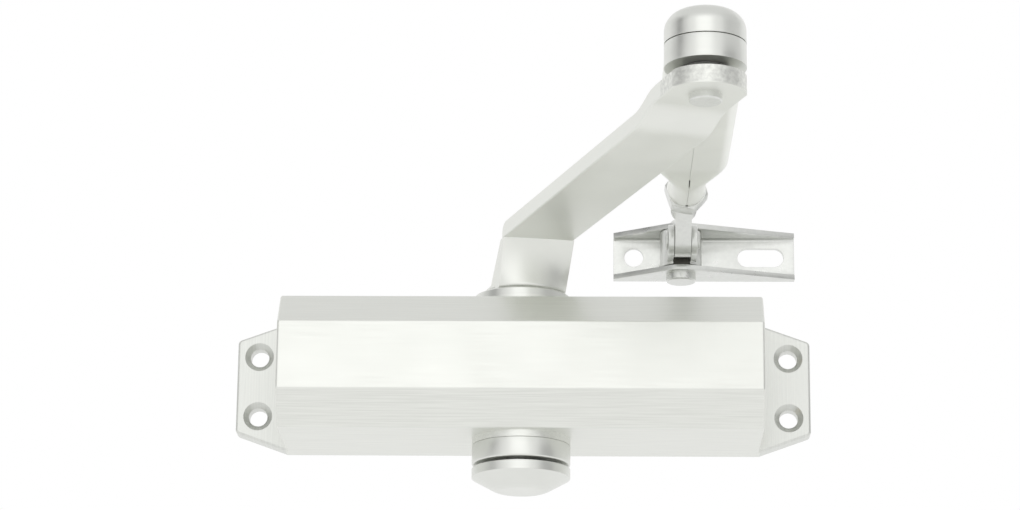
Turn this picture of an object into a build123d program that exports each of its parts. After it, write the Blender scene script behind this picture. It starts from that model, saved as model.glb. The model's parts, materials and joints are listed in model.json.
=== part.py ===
from build123d import *

import math
import os

# Surface-mounted door closer with a regular double-lever arm. Millimetres.
# Origin: centre of the four-hole pattern on the door-side face (Y = 0).
# +X runs along the body, +Y points into the door, +Z up along the spindle.

# Body
BODY_LENGTH = 146.5
BODY_HEIGHT = 41.0
BODY_DEPTH = 47.0
CHAMFER_DEPTH = 8.6
CHAMFER_HEIGHT = 10.1
BODY_EDGE_ROUND = 0.8
EAR_LENGTH = 16.05
EAR_THICKNESS = 6.0
EAR_END_HEIGHT = 29.4
EAR_CORNER_ROUND = 1.5
EAR_EDGE_ROUND = 0.8
HOLE_EDGE = 6.8
HOLE_SPACING_Z = 19.0
SCREW_HOLE_D = 5.8
COUNTERSINK_D = 9.0

# Bosses and rings round the spindle
SPINDLE_BACKSET = 22.5
BOSS_R = 15.0
UPPER_BOSS_HEIGHT = 1.1
UPPER_COLLAR_HEIGHT = 2.4
LOWER_BOSS_HEIGHT = 2.2
LOWER_RING_HEIGHT = 6.1
CAP_GAP = 1.1
CAP_SIDE_HEIGHT = 2.7
CAP_CONE_HEIGHT = 4.1
CAP_NOSE_R = 7.8
CAP_NOSE_ROUND = 6.0
CAP_POCKET_DEPTH = 4.6
RING_EDGE_BREAK = 0.4

# Cylinder, plugs and valves
BORE_R = 14.0
PLUG_SHOULDER = 1.5
PLUG_LENGTH = 10.0
PLUG_RECESS = 0.8
PLUG_PIN_HOLE_R = 1.75
PLUG_PIN_SPACING = 16.0
PLUG_PIN_DEPTH = 4.0
PLUG_SEAL_WIDTH = 2.0
PLUG_SEAL_THICKNESS = 1.4
VALVE_R = 2.45
VALVE_LENGTH = 20.0
VALVE_TIP_R = 0.5
VALVE_TIP_LENGTH = 4.0
VALVE_WALL = 0.7
VALVE_ANGLE_DEG = 50.0
VALVE_RECESS = 1.0
VALVE_SLOT_WIDTH = 0.9
VALVE_SLOT_DEPTH = 1.2
VALVE_SEAL_WIDTH = 1.6
VALVE_SEAL_THICKNESS = 0.9
VALVE_SEAL_INSET = 6.0

# Spindle and pinion
JOURNAL_R = 7.0
SPINDLE_SQUARE = 9.6
PINION_TEETH = 10
MODULE = 1.6
PRESSURE_ANGLE = 25.0
PINION_ADDENDUM = 1.0
PINION_DEDENDUM = 1.0
RACK_ADDENDUM = 0.8
RACK_DEDENDUM = 1.2
TOOTH_SIDE_GAP = 0.12
PINION_HALF_LENGTH = 9.3
RACK_END_GAP = 0.3
SHOULDER_R = 9.0
SHOULDER_GAP = 0.3
BEARING_R = 11.0
BEARING_LENGTH = 4.8
BEARING_BORE_GAP = 0.2
SEAL_LENGTH = 2.2
SEAL_GAP = 0.2
LOWER_SEAL_R = 10.4
LOWER_SEAL_LENGTH = 3.4
LOWER_SEAL_LIP = 1.0
SWING_DEG = 120.0

# Piston, spring and check valve
PISTON_HEAD_LENGTH = 7.6
PISTON_TAIL_LENGTH = 22.0
SLOT_END_GAP = 0.8
SLOT_SIDE_GAP = 0.6
PISTON_SEAL_WIDTH = 2.0
PISTON_SEAL_THICKNESS = 1.4
PISTON_SEAL_INSET = 4.0
SPRING_SEAT_LENGTH = 3.0
SPRING_SEAT_BORE_R = 6.0
SPRING_SEAT_RIM_GAP = 1.5
SPRING_WIRE_R = 1.9
SPRING_MEAN_R = 9.8
SPRING_TURNS = 5
SPRING_END_GAP = 0.1
BALL_R = 3.0
BALL_LIFT = 0.8
BALL_GAP = 0.4
OIL_HOLE_R = 2.0
VALVE_SEAT_R = 4.5
VALVE_SEAT_LENGTH = 4.0

# Main arm
ARM_REACH = 147.6
ARM_HEADING_DEG = 20.6
ARM_WIDTH = 21.5
ARM_THICKNESS = 5.0
ARM_EYE_R = 11.9
ARM_EYE_CHAMFER = 3.6
ARM_RISE = 15.0
ARM_EYE_GAP = 0.2
BAR_START = 11.0
BAR_BEND_R = 3.5
RISER_R = 14.0
RISER_THICKNESS = 5.4
RISER_SIDE_START = -0.5
CREASE_LEFT = 13.2
CREASE_RIGHT = 16.9
CREASE_BACK = 10.0
CREASE_BOW = 0.3
RISER_WAIST = 14.1
RISER_WAIST_HEIGHT = 10.5
RISER_FOOT_ROUND = 1.2
ARM_END_R = 11.1
ARM_END_RISE = 3.3
JOGGLE_START = 22.6
JOGGLE_END = 13.0
JOGGLE_BEND_R = 20.0
ARM_EDGE_ROUND = 0.6
WASHER_GAP = 1.0
WASHER_THICKNESS = 1.5
ARM_SCREW_R = 3.0
ARM_SCREW_LENGTH = 16.0
ARM_SCREW_HEAD_R = 5.0
ARM_SCREW_HEAD_HEIGHT = 6.0
ARM_SCREW_KEY_ACROSS = 5.0
ARM_SCREW_KEY_DEPTH = 3.0

# Elbow
ELBOW_PIN_R = 4.0
ELBOW_RIVET_R = 4.5
ELBOW_RIVET_HEIGHT = 2.0
BUSH_R = 6.5
ELBOW_GAP = 2.5
BUSH_PLAY = 0.1
HUB_R = 11.15
HUB_HEIGHT = 6.5
HUB_SPIGOT_R = 9.4
HUB_SPIGOT_HEIGHT = 1.9
HUB_TONGUE_LENGTH = 12.0
HUB_TONGUE_WIDTH = 12.0
DOME_GAP = 0.3
DOME_SIDE_HEIGHT = 3.6
DOME_CROWN = 0.5
DOME_SHOULDER_R = 5.5
DOME_WALL = 1.5
CIRCLIP_R = 6.0
CIRCLIP_THICKNESS = 1.0
CIRCLIP_GROOVE_DEPTH = 0.6
CIRCLIP_PLAY = 0.3
PIN_TIP_LENGTH = 1.0

# Forearm, rod and lock nut
FOREARM_WIDTH = 22.0
FOREARM_HEIGHT = 6.5
FOREARM_SHEET = 1.6
FOREARM_DROP_DEG = 1.08
FOREARM_TURN_DEG = 1.014
FLAT_LENGTH = 83.9
SHOULDER_LENGTH = 16.2
TUBE_LENGTH = 10.9
TUBE_R = 5.5
SHOULDER_SECTIONS = 5
SEAM_WIDTH = 0.06
SEAM_LENGTH = 54.2
SEAM_SPREAD = 0.07
NOTCH_WIDTH = 0.4
NOTCH_LENGTH = 4.0
NOTCH_FROM_END = 16.1
SEAM_END_WIDTH = 0.8
SEAM_END_LENGTH = 1.0
ROD_R = 3.6
ROD_SHOWN = 40.7
ROD_ENGAGED = 11.0
ROD_ROOM = 5.0
NUT_ACROSS = 11.6
NUT_LENGTH = 6.3
NUT_GAP = 0.1
NUT_CHAMFER = 0.7
NUT_TURN_DEG = -18.0

# Knuckle and its pins
PIN_REACH = 12.4
EYE_HEADROOM = 1.0
ROD_EYE_R = 5.2
BLADE_THICKNESS = 5.0
BLADE_REACH = 19.0
BLADE_ROOT_INSET = 0.3
TILT_PIN_R = 2.0
TILT_PIN_HEAD_R = 2.9
TILT_PIN_HEAD = 0.7
CHEEK_R = 4.8
CHEEK_THICKNESS = 1.9
CHEEK_GAP = 0.1
KNUCKLE_WALL = 2.0
BARREL_R = 6.5
BARREL_PLAY = 0.2

# Frame bracket
RIVET_DEPTH = 9.0
BRACKET_LENGTH = 57.0
BRACKET_LEFT = 21.1
BRACKET_HEIGHT = 15.2
BRACKET_SHEET = 1.6
BRACKET_CENTRE_Z = 43.5
FLANGE_END_DEPTH = 3.3
FLANGE_NOSE_R = 6.2
BRACKET_BEND_R = 0.8
BRACKET_HOLE_R = 3.0
BRACKET_HOLE_INSET = 6.4
BRACKET_SLOT_INSET = 10.6
BRACKET_SLOT_LENGTH = 14.5
RIVET_R = 2.9
RIVET_HEAD_R = 4.6
RIVET_HEAD_HEIGHT = 2.6
RIVET_HEAD_ROUND = 0.6
RIVET_UPSET_HEIGHT = 2.0

# Fits
RUNNING_GAP = 0.05
PISTON_GAP = 0.03

# Heights worked out from the sizes above
BODY_TOP = BODY_HEIGHT / 2
BEARING_LOW = BORE_R + BEARING_BORE_GAP
BEARING_TOP = BEARING_LOW + BEARING_LENGTH
COLLAR_LOW = max(BODY_TOP + UPPER_BOSS_HEIGHT, BEARING_TOP + SEAL_GAP + SEAL_LENGTH)
COLLAR_TOP = COLLAR_LOW + UPPER_COLLAR_HEIGHT
RING_TOP = -BODY_TOP - LOWER_BOSS_HEIGHT
RING_LOW = RING_TOP - LOWER_RING_HEIGHT
CAP_TOP = RING_LOW - CAP_GAP
EYE_LOW = COLLAR_TOP + ARM_EYE_GAP
EYE_TOP = EYE_LOW + ARM_THICKNESS
BAR_LOW = EYE_LOW + ARM_RISE
ARM_END_LOW = BAR_LOW + ARM_END_RISE
ARM_END_TOP = ARM_END_LOW + ARM_THICKNESS
HUB_LOW = ARM_END_TOP + ELBOW_GAP
HUB_TOP = HUB_LOW + HUB_HEIGHT
DOME_LOW = HUB_TOP + DOME_GAP
CIRCLIP_LOW = HUB_TOP + HUB_SPIGOT_HEIGHT + CIRCLIP_PLAY
FOREARM_Z = HUB_LOW + HUB_HEIGHT / 2

# Places along the body
BODY_END = BODY_LENGTH / 2
EAR_SPAN = BODY_LENGTH + 2 * EAR_LENGTH
HOLE_SPACING_X = EAR_SPAN - 2 * HOLE_EDGE
PLUG_R = BORE_R + PLUG_SHOULDER
PLUG_OUTER = BODY_END - PLUG_RECESS
PLUG_INNER = PLUG_OUTER - PLUG_LENGTH
PITCH_R = MODULE * PINION_TEETH / 2
PINION_TIP_R = PITCH_R + PINION_ADDENDUM * MODULE
PISTON_TRAVEL = PITCH_R * math.radians(SWING_DEG)
PISTON_R = BORE_R - PISTON_GAP
RACK_ROOT = PITCH_R + RACK_DEDENDUM * MODULE
RACK_HALF_WIDTH = PINION_HALF_LENGTH - RACK_END_GAP
SLOT_LEFT = -PINION_TIP_R - SLOT_END_GAP
SLOT_RIGHT = PINION_TIP_R + SLOT_END_GAP + PISTON_TRAVEL
PISTON_LEFT = SLOT_LEFT - PISTON_HEAD_LENGTH
PISTON_RIGHT = SLOT_RIGHT + PISTON_TAIL_LENGTH
VALVE_SEAT_LEFT = PISTON_RIGHT - VALVE_SEAT_LENGTH
BALL_POCKET_R = BALL_R + BALL_GAP
BALL_RIGHT = VALVE_SEAT_LEFT - BALL_LIFT - BALL_GAP
BALL_X = BALL_RIGHT - BALL_R
BALL_POCKET_LEFT = BALL_X - math.sqrt(BALL_R**2 - OIL_HOLE_R**2) - BALL_GAP
SPRING_LEFT = -PLUG_INNER + SPRING_SEAT_LENGTH

# Valve bores, beside the plug's thread
VALVE_OUTER = BODY_END - VALVE_RECESS
VALVE_INNER = VALVE_OUTER - VALVE_LENGTH
VALVE_BORE_R = VALVE_R + RUNNING_GAP
VALVE_SEAL_RIGHT = VALVE_OUTER - VALVE_SEAL_INSET
VALVE_SEAL_R = VALVE_BORE_R + VALVE_SEAL_THICKNESS
VALVE_REACH = PLUG_R + VALVE_WALL + VALVE_SEAL_R
VALVE_Y = VALVE_REACH * math.cos(math.radians(VALVE_ANGLE_DEG)) - SPINDLE_BACKSET
VALVE_Z = VALVE_REACH * math.sin(math.radians(VALVE_ANGLE_DEG))

# Frames: spindle axis, main arm, forearm and knuckle
SPINDLE_Y = -SPINDLE_BACKSET
ARM_ANGLE = ARM_HEADING_DEG - 90
ELBOW_X = ARM_REACH * math.cos(math.radians(ARM_ANGLE))
ELBOW_Y = SPINDLE_Y + ARM_REACH * math.sin(math.radians(ARM_ANGLE))
TUBE_END = FLAT_LENGTH + SHOULDER_LENGTH + TUBE_LENGTH
FOREARM_ANGLE = 90 + FOREARM_TURN_DEG
FOREARM_REACH = TUBE_END * math.cos(math.radians(FOREARM_DROP_DEG)) + ROD_SHOWN
RIVET_X = ELBOW_X + FOREARM_REACH * math.cos(math.radians(FOREARM_ANGLE))
RIVET_Y = ELBOW_Y + FOREARM_REACH * math.sin(math.radians(FOREARM_ANGLE))
SPINDLE = Pos(0, SPINDLE_Y, 0)
ARM = SPINDLE * Rot(0, 0, ARM_ANGLE)
ELBOW = Pos(ELBOW_X, ELBOW_Y, 0)
FOREARM = Pos(ELBOW_X, ELBOW_Y, FOREARM_Z) * Rot(0, 0, FOREARM_ANGLE) * Rot(0, FOREARM_DROP_DEG, 0)
RIVET = Pos(RIVET_X, RIVET_Y, 0)
KNUCKLE = RIVET * Rot(0, 0, FOREARM_ANGLE + 180)
ROD_DROP = math.tan(math.radians(FOREARM_DROP_DEG))
BLADE_Z = FOREARM_Z - (FOREARM_REACH - BLADE_REACH) * ROD_DROP
BRACKET_LOW = BRACKET_CENTRE_Z - BRACKET_HEIGHT / 2
BRACKET_TOP = BRACKET_CENTRE_Z + BRACKET_HEIGHT / 2
PIN_Z = BRACKET_TOP - BRACKET_SHEET - EYE_HEADROOM - ROD_EYE_R
BRACKET_HOLE_SPACING = BRACKET_LENGTH - BRACKET_HOLE_INSET - BRACKET_SLOT_INSET

WASHER_R = RISER_R - RISER_THICKNESS - WASHER_GAP

BASE = (Align.CENTER, Align.CENTER, Align.MIN)


def rod(radius, low, high):
    """Upright cylinder between two heights."""
    return Pos(0, 0, low) * Cylinder(radius, high - low, align=BASE)


def ring(outer, inner, low, high):
    """Upright ring between two heights."""
    return rod(outer, low, high) - rod(inner, low, high)


def rod_x(radius, left, right):
    """Cylinder along X between two places."""
    return Pos(left, 0, 0) * Rot(0, 90, 0) * Cylinder(radius, right - left, align=BASE)


def ring_x(outer, inner, left, right):
    """Ring along X between two places."""
    return rod_x(outer, left, right) - rod_x(inner, left, right)


def block(x_span, y_span, z_span):
    """Box from three (low, high) spans."""
    size = [high - low for low, high in (x_span, y_span, z_span)]
    corner = [span[0] for span in (x_span, y_span, z_span)]
    return Pos(*corner) * Box(*size, align=(Align.MIN, Align.MIN, Align.MIN))


def hexagon_x(across, left, right):
    """Hexagon prism along X, from its width across flats."""
    face = RegularPolygon(across / 2, 6, major_radius=False)
    return Pos(left, 0, 0) * Rot(0, 90, 0) * extrude(face, right - left)


def plate_xz(outline, front, back):
    """Plate in the XZ plane between two Y places, from a sketch drawn in X and Z."""
    return Pos(0, back, 0) * extrude(Plane.XZ * outline, back - front)


def turned(points):
    """Solid of revolution about Z from an outline of (radius, height) points."""
    outline = Plane.XZ * make_face(Polyline(*points, close=True))
    return revolve(outline, Axis.Z)


def ear_outline():
    """Both ears and the back of the body, tapering towards the outer edges."""
    half, end = BODY_HEIGHT / 2, EAR_END_HEIGHT / 2
    tip = EAR_SPAN / 2
    corners = [(-tip, -end), (-BODY_END, -half), (BODY_END, -half), (tip, -end)]
    corners += [(tip, end), (BODY_END, half), (-BODY_END, half), (-tip, end)]
    face = make_face(Polyline(*corners, close=True))
    outer = [v for v in face.vertices() if abs(v.X) > BODY_END + EAR_CORNER_ROUND]
    return fillet(outer, EAR_CORNER_ROUND)


def body_profile():
    """End view of the body: a block with two front chamfers, drawn in Y and Z."""
    half = BODY_HEIGHT / 2
    front_half = half - CHAMFER_HEIGHT
    shoulder = CHAMFER_DEPTH - BODY_DEPTH
    right = [(0, half), (shoulder, half), (-BODY_DEPTH, front_half)]
    left = [(y, -z) for y, z in reversed(right)]
    face = make_face(Polyline(*right, *left, close=True))
    front = [v for v in face.vertices() if v.X < -BODY_EDGE_ROUND]
    return fillet(front, BODY_EDGE_ROUND)


def screw_hole():
    """Countersunk hole through an ear, along Y."""
    depth = (COUNTERSINK_D - SCREW_HOLE_D) / 2
    hole = Rot(90, 0, 0) * Cylinder(SCREW_HOLE_D / 2, EAR_THICKNESS, align=BASE)
    cone = Cone(SCREW_HOLE_D / 2, COUNTERSINK_D / 2, depth, align=BASE)
    return hole + Rot(90, 0, 0) * Pos(0, 0, EAR_THICKNESS - depth) * cone


def valve_places():
    """The two valve axes on the right end face."""
    return [Pos(0, VALVE_Y, side * VALVE_Z) for side in (-1, 1)]


def valve_bore():
    """Blind bore of a valve with the groove of its seal."""
    bore = rod_x(VALVE_BORE_R, VALVE_INNER - RUNNING_GAP, BODY_END)
    return bore + rod_x(VALVE_SEAL_R, VALVE_SEAL_RIGHT - VALVE_SEAL_WIDTH, VALVE_SEAL_RIGHT)


def body_casting():
    """Cast body with ears, bosses, cylinder bore, spindle bores and valve bores."""
    solid = extrude(Plane.YZ * body_profile(), BODY_LENGTH / 2, both=True)
    ends = solid.edges().filter_by(lambda e: abs(e.center().X) > BODY_END - BODY_EDGE_ROUND)
    solid = fillet([e for e in ends if e.center().Y < -BODY_EDGE_ROUND], BODY_EDGE_ROUND)
    ears = plate_xz(ear_outline(), -EAR_THICKNESS, 0)
    solid += fillet(ears.edges().group_by(Axis.Y)[0], EAR_EDGE_ROUND)
    solid += SPINDLE * rod(BOSS_R, RING_TOP, COLLAR_LOW)
    solid -= SPINDLE * rod_x(BORE_R, -BODY_END, BODY_END)
    for left, right in ((-BODY_END, -PLUG_INNER), (PLUG_INNER, BODY_END)):
        solid -= SPINDLE * rod_x(PLUG_R, left, right)
    solid -= SPINDLE * rod(BEARING_R, RING_TOP, COLLAR_LOW)
    for x in (-HOLE_SPACING_X / 2, HOLE_SPACING_X / 2):
        for z in (-HOLE_SPACING_Z / 2, HOLE_SPACING_Z / 2):
            solid -= Pos(x, 0, z) * screw_hole()
    for place in valve_places():
        solid -= place * valve_bore()
    return solid


def end_plug():
    """Screwed plug for the right end of the cylinder, with two holes for a pin spanner."""
    solid = rod_x(PLUG_R, PLUG_INNER, PLUG_OUTER)
    for y in (-PLUG_PIN_SPACING / 2, PLUG_PIN_SPACING / 2):
        solid -= Pos(0, y, 0) * rod_x(PLUG_PIN_HOLE_R, PLUG_OUTER - PLUG_PIN_DEPTH, PLUG_OUTER)
    return solid - plug_seal()


def plug_seal():
    """Sealing ring in the plug's groove, half way along the plug."""
    middle = (PLUG_INNER + PLUG_OUTER) / 2
    half = PLUG_SEAL_WIDTH / 2
    return ring_x(PLUG_R, PLUG_R - PLUG_SEAL_THICKNESS, middle - half, middle + half)


def left_and_right(name, solid):
    """The same piece at the right end and turned to the left end."""
    return {"right_" + name: SPINDLE * solid, "left_" + name: SPINDLE * Rot(0, 0, 180) * solid}


def speed_valve():
    """Needle valve screw with a driver slot in its head."""
    solid = rod_x(VALVE_R, VALVE_INNER + VALVE_TIP_LENGTH, VALVE_OUTER)
    needle = Cone(VALVE_TIP_R, VALVE_R, VALVE_TIP_LENGTH, align=BASE)
    solid += Pos(VALVE_INNER, 0, 0) * Rot(0, 90, 0) * needle
    slot_half = VALVE_SLOT_WIDTH / 2
    slot_x = (VALVE_OUTER - VALVE_SLOT_DEPTH, VALVE_OUTER)
    return solid - block(slot_x, (-VALVE_R, VALVE_R), (-slot_half, slot_half))


def valve_seals():
    """One sealing ring round each valve screw, held in the body."""
    seal = ring_x(VALVE_SEAL_R, VALVE_BORE_R, VALVE_SEAL_RIGHT - VALVE_SEAL_WIDTH, VALVE_SEAL_RIGHT)
    return Compound(children=[place * seal for place in valve_places()])


def upper_collar():
    """Turned collar on the upper boss, closing the bearing bore."""
    solid = rod(BOSS_R, COLLAR_LOW, COLLAR_TOP)
    solid = chamfer(solid.edges().group_by(Axis.Z)[-1], RING_EDGE_BREAK)
    return solid - rod(JOURNAL_R + SEAL_GAP, COLLAR_LOW, COLLAR_TOP)


def lower_seal_span():
    low = RING_LOW + LOWER_SEAL_LIP
    return low, low + LOWER_SEAL_LENGTH


def lower_bearing_ring():
    """Screwed ring under the lower boss, with its spigot up to the bearing."""
    solid = rod(BOSS_R, RING_LOW, RING_TOP)
    solid = chamfer(solid.edges().group_by(Axis.Z)[0], RING_EDGE_BREAK)
    solid += rod(BEARING_R, RING_TOP, -BEARING_TOP - SEAL_GAP)
    solid -= rod(JOURNAL_R + SEAL_GAP, RING_LOW, -BEARING_TOP)
    return solid - rod(LOWER_SEAL_R, *lower_seal_span())


def spindle_bearing(low):
    """Bearing bush for the spindle, starting at a height."""
    return ring(BEARING_R, JOURNAL_R + RUNNING_GAP, low, low + BEARING_LENGTH)


def upper_shaft_seal():
    low = COLLAR_LOW - SEAL_LENGTH
    return ring(BEARING_R, JOURNAL_R + RUNNING_GAP, low, COLLAR_LOW)


def lower_shaft_seal():
    return ring(LOWER_SEAL_R, JOURNAL_R + RUNNING_GAP, *lower_seal_span())


def involute_angle(radius):
    """Angle swept by an involute of the pinion's base circle out to a radius."""
    base_r = PITCH_R * math.cos(math.radians(PRESSURE_ANGLE))
    pressure = math.acos(min(1.0, base_r / radius))
    return math.tan(pressure) - pressure


def pinion_tooth():
    """One tooth pointing along +Y, with involute flanks as arcs through three points."""
    base_r = PITCH_R * math.cos(math.radians(PRESSURE_ANGLE))
    root_r = PITCH_R - PINION_DEDENDUM * MODULE
    half_pitch = math.pi / (2 * PINION_TEETH) + involute_angle(PITCH_R)

    def flank(radius, side, angle_radius=None):
        half = half_pitch - involute_angle(angle_radius or radius)
        return radius * math.sin(side * half), radius * math.cos(half)

    middle_r = (base_r + PINION_TIP_R) / 2
    edges = [ThreePointArc(flank(base_r, s), flank(middle_r, s), flank(PINION_TIP_R, s)) for s in (-1, 1)]
    edges.append(Line(flank(PINION_TIP_R, -1), flank(PINION_TIP_R, 1)))
    roots = [flank(root_r, s, base_r) for s in (-1, 1)]
    edges += [Line(flank(base_r, s), root) for s, root in zip((-1, 1), roots)]
    edges += [Line(roots[0], (0, 0)), Line((0, 0), roots[1])]
    return make_face(edges)


def pinion_spindle():
    """Spindle with its pinion, two shoulders, journals and a square at each end."""
    root_r = PITCH_R - PINION_DEDENDUM * MODULE
    tooth = extrude(pinion_tooth(), PINION_HALF_LENGTH, both=True)
    solid = rod(root_r, -PINION_HALF_LENGTH, PINION_HALF_LENGTH)
    for turn in range(PINION_TEETH):
        solid += Rot(0, 0, turn * 360 / PINION_TEETH) * tooth
    shoulder_end = BEARING_LOW - SHOULDER_GAP
    solid += rod(SHOULDER_R, PINION_HALF_LENGTH, shoulder_end)
    solid += rod(SHOULDER_R, -shoulder_end, -PINION_HALF_LENGTH)
    solid += rod(JOURNAL_R, shoulder_end, COLLAR_TOP)
    solid += rod(JOURNAL_R, CAP_TOP, -shoulder_end)
    half = SPINDLE_SQUARE / 2
    solid += block((-half, half), (-half, half), (COLLAR_TOP, EYE_TOP))
    solid += block((-half, half), (-half, half), (CAP_TOP - CAP_POCKET_DEPTH, CAP_TOP))
    return solid - rod(ARM_SCREW_R, EYE_TOP + WASHER_THICKNESS - ARM_SCREW_LENGTH, EYE_TOP)


def spindle_cap():
    """Conical cap on the spindle's lower square, with a round nose."""
    side_low = CAP_TOP - CAP_SIDE_HEIGHT
    nose_low = side_low - CAP_CONE_HEIGHT
    points = [(0, CAP_TOP), (BOSS_R, CAP_TOP), (BOSS_R, side_low), (CAP_NOSE_R, nose_low), (0, nose_low)]
    solid = turned(points)
    solid = fillet(solid.edges().filter_by(GeomType.CIRCLE).group_by(Axis.Z)[0], CAP_NOSE_ROUND)
    half = SPINDLE_SQUARE / 2
    return solid - block((-half, half), (-half, half), (CAP_TOP - CAP_POCKET_DEPTH, CAP_TOP))


def rack_tooth():
    """One rack tooth pointing towards the spindle, drawn in X and Y about its middle."""
    slope = math.tan(math.radians(PRESSURE_ANGLE))
    at_pitch = math.pi * MODULE / 4 - TOOTH_SIDE_GAP
    tip = at_pitch - RACK_ADDENDUM * MODULE * slope
    root = at_pitch + RACK_DEDENDUM * MODULE * slope
    tip_y = PITCH_R - RACK_ADDENDUM * MODULE
    points = [(-root, RACK_ROOT), (-tip, tip_y), (tip, tip_y), (root, RACK_ROOT)]
    return extrude(make_face(Polyline(*points, close=True)), RACK_HALF_WIDTH, both=True)


def rack_places():
    """Middles of the rack teeth that fit in the piston's slot."""
    pitch = math.pi * MODULE
    first = math.ceil(SLOT_LEFT / pitch) + 0.5
    count = math.floor((SLOT_RIGHT - SLOT_LEFT) / pitch) - 1
    return [(first + step) * pitch for step in range(count)]


def piston_seal():
    right = PISTON_RIGHT - PISTON_SEAL_INSET
    return ring_x(PISTON_R, PISTON_R - PISTON_SEAL_THICKNESS, right - PISTON_SEAL_WIDTH, right)


def rack_piston():
    """Piston with a slot for the pinion, a rack on the slot's door side and a check valve."""
    blank = rod_x(PISTON_R, PISTON_LEFT, PISTON_RIGHT)
    slot_y = (-PINION_TIP_R - SLOT_SIDE_GAP, RACK_ROOT)
    solid = blank - block((SLOT_LEFT, SLOT_RIGHT), slot_y, (-BORE_R, BORE_R))
    for x in rack_places():
        solid += Pos(x, 0, 0) * rack_tooth() & blank
    solid -= rod_x(OIL_HOLE_R, SLOT_RIGHT, PISTON_RIGHT)
    solid -= rod_x(BALL_POCKET_R, BALL_POCKET_LEFT, PISTON_RIGHT)
    solid -= rod_x(VALVE_SEAT_R, VALVE_SEAT_LEFT, PISTON_RIGHT)
    return solid - piston_seal()


def check_valve_seat():
    """Screwed ring that keeps the check ball in the piston."""
    return ring_x(VALVE_SEAT_R, OIL_HOLE_R, VALVE_SEAT_LEFT, PISTON_RIGHT)


def check_ball():
    return Pos(BALL_X, 0, 0) * Sphere(BALL_R)


def spring_seat():
    """Seat ring between the spring and the left plug."""
    return ring_x(BORE_R - SPRING_SEAT_RIM_GAP, SPRING_SEAT_BORE_R, -PLUG_INNER, SPRING_LEFT)


def closing_spring():
    """Compression spring between its seat and the piston."""
    inset = SPRING_WIRE_R + SPRING_END_GAP
    length = PISTON_LEFT - SPRING_LEFT - 2 * inset
    path = Helix(length / SPRING_TURNS, length, SPRING_MEAN_R)
    section = Plane(origin=path @ 0, z_dir=path % 0) * Circle(SPRING_WIRE_R)
    coil = sweep(section, path=path, is_frenet=True)
    return Pos(SPRING_LEFT + inset, 0, 0) * Rot(0, 90, 0) * coil


def arm_bar():
    """Side view of the bar from the riser to the elbow, with the soft joggle at its end."""
    start, end = ARM_REACH - JOGGLE_START, ARM_REACH - JOGGLE_END
    tip = ARM_REACH + ARM_END_R
    lower = [(0, BAR_LOW), (start, BAR_LOW), (end, ARM_END_LOW), (tip, ARM_END_LOW)]
    upper = [(x, z + ARM_THICKNESS) for x, z in reversed(lower)]
    face = make_face(Polyline(*lower, *upper, close=True))
    bends = [v for v in face.vertices() if BAR_START < v.X < ARM_REACH]
    half = ARM_WIDTH / 2
    return plate_xz(fillet(bends, JOGGLE_BEND_R), -half, half)


def arm_plan():
    """Top view of the bar: straight sides and a round end at the elbow."""
    half = ARM_WIDTH / 2
    bar = block((0, ARM_REACH), (-half, half), (EYE_LOW, ARM_END_TOP))
    return bar + Pos(ARM_REACH, 0, 0) * rod(ARM_END_R, EYE_LOW, ARM_END_TOP)


def riser_section(height, left, middle, right, back):
    """Level section of the riser: a front through three X places, straight sides and back."""
    half = ARM_WIDTH / 2
    sides = Polyline((right, half), (back, half), (back, -half), (left, -half))
    front = ThreePointArc((left, -half), (middle, 0), (right, half))
    return Pos(0, 0, EYE_LOW + height) * make_face([front, *sides.edges()])


def riser():
    """Web from the round foot at the eye up past a waist, flaring to the crease under the bar."""
    corner = math.sqrt(RISER_R**2 - (ARM_WIDTH / 2) ** 2)
    share = RISER_WAIST_HEIGHT / ARM_RISE

    def part_way(low, high):
        return low + share * (high - low)

    foot = riser_section(0, corner, RISER_R, corner, RISER_SIDE_START)
    sides = part_way(corner, CREASE_LEFT), RISER_WAIST, part_way(corner, CREASE_RIGHT)
    waist = riser_section(RISER_WAIST_HEIGHT, *sides, part_way(RISER_SIDE_START, CREASE_BACK))
    crease_middle = (CREASE_LEFT + CREASE_RIGHT) / 2 + CREASE_BOW
    crease = riser_section(ARM_RISE, CREASE_LEFT, crease_middle, CREASE_RIGHT, CREASE_BACK)
    solid = loft([foot, waist, crease])
    foot_edge = solid.edges().group_by(Axis.Z)[0].sort_by(Axis.X)[-1]
    return fillet(foot_edge, RISER_FOOT_ROUND)


def arm_eye():
    """Eye on the spindle's square, with its upper edge sloped back to the washer's seat."""
    eye = rod(ARM_EYE_R, EYE_LOW, EYE_TOP)
    return chamfer(eye.edges().group_by(Axis.Z)[-1], ARM_EYE_CHAMFER)


def main_arm():
    """Forged flat arm: eye on the square, riser, bar and joggled end."""
    half = ARM_WIDTH / 2
    bar_top = BAR_LOW + ARM_THICKNESS
    screw_room = rod(RISER_R - RISER_THICKNESS, EYE_TOP, bar_top)
    bar = (arm_bar() & arm_plan()) - screw_room
    bar -= block((0, BAR_START), (-half, half), (BAR_LOW, bar_top))
    start_edges = bar.edges().filter_by(Axis.Y).group_by(Axis.X)[0]
    bar = fillet(start_edges.group_by(Axis.Z)[-1], BAR_BEND_R)
    outer = [e for e in bar.edges().filter_by(Axis.X) if abs(abs(e.center().Y) - half) < ARM_EDGE_ROUND]
    bar = fillet(outer, ARM_EDGE_ROUND)
    solid = bar + (riser() - screw_room) + arm_eye()
    square = SPINDLE_SQUARE / 2
    hole = block((-square, square), (-square, square), (EYE_LOW, EYE_TOP))
    solid -= Rot(0, 0, -ARM_ANGLE) * hole
    return solid - Pos(ARM_REACH, 0, 0) * rod(ELBOW_PIN_R, ARM_END_LOW, ARM_END_TOP)


def arm_washer():
    return ring(WASHER_R, ARM_SCREW_R, EYE_TOP, EYE_TOP + WASHER_THICKNESS)


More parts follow.
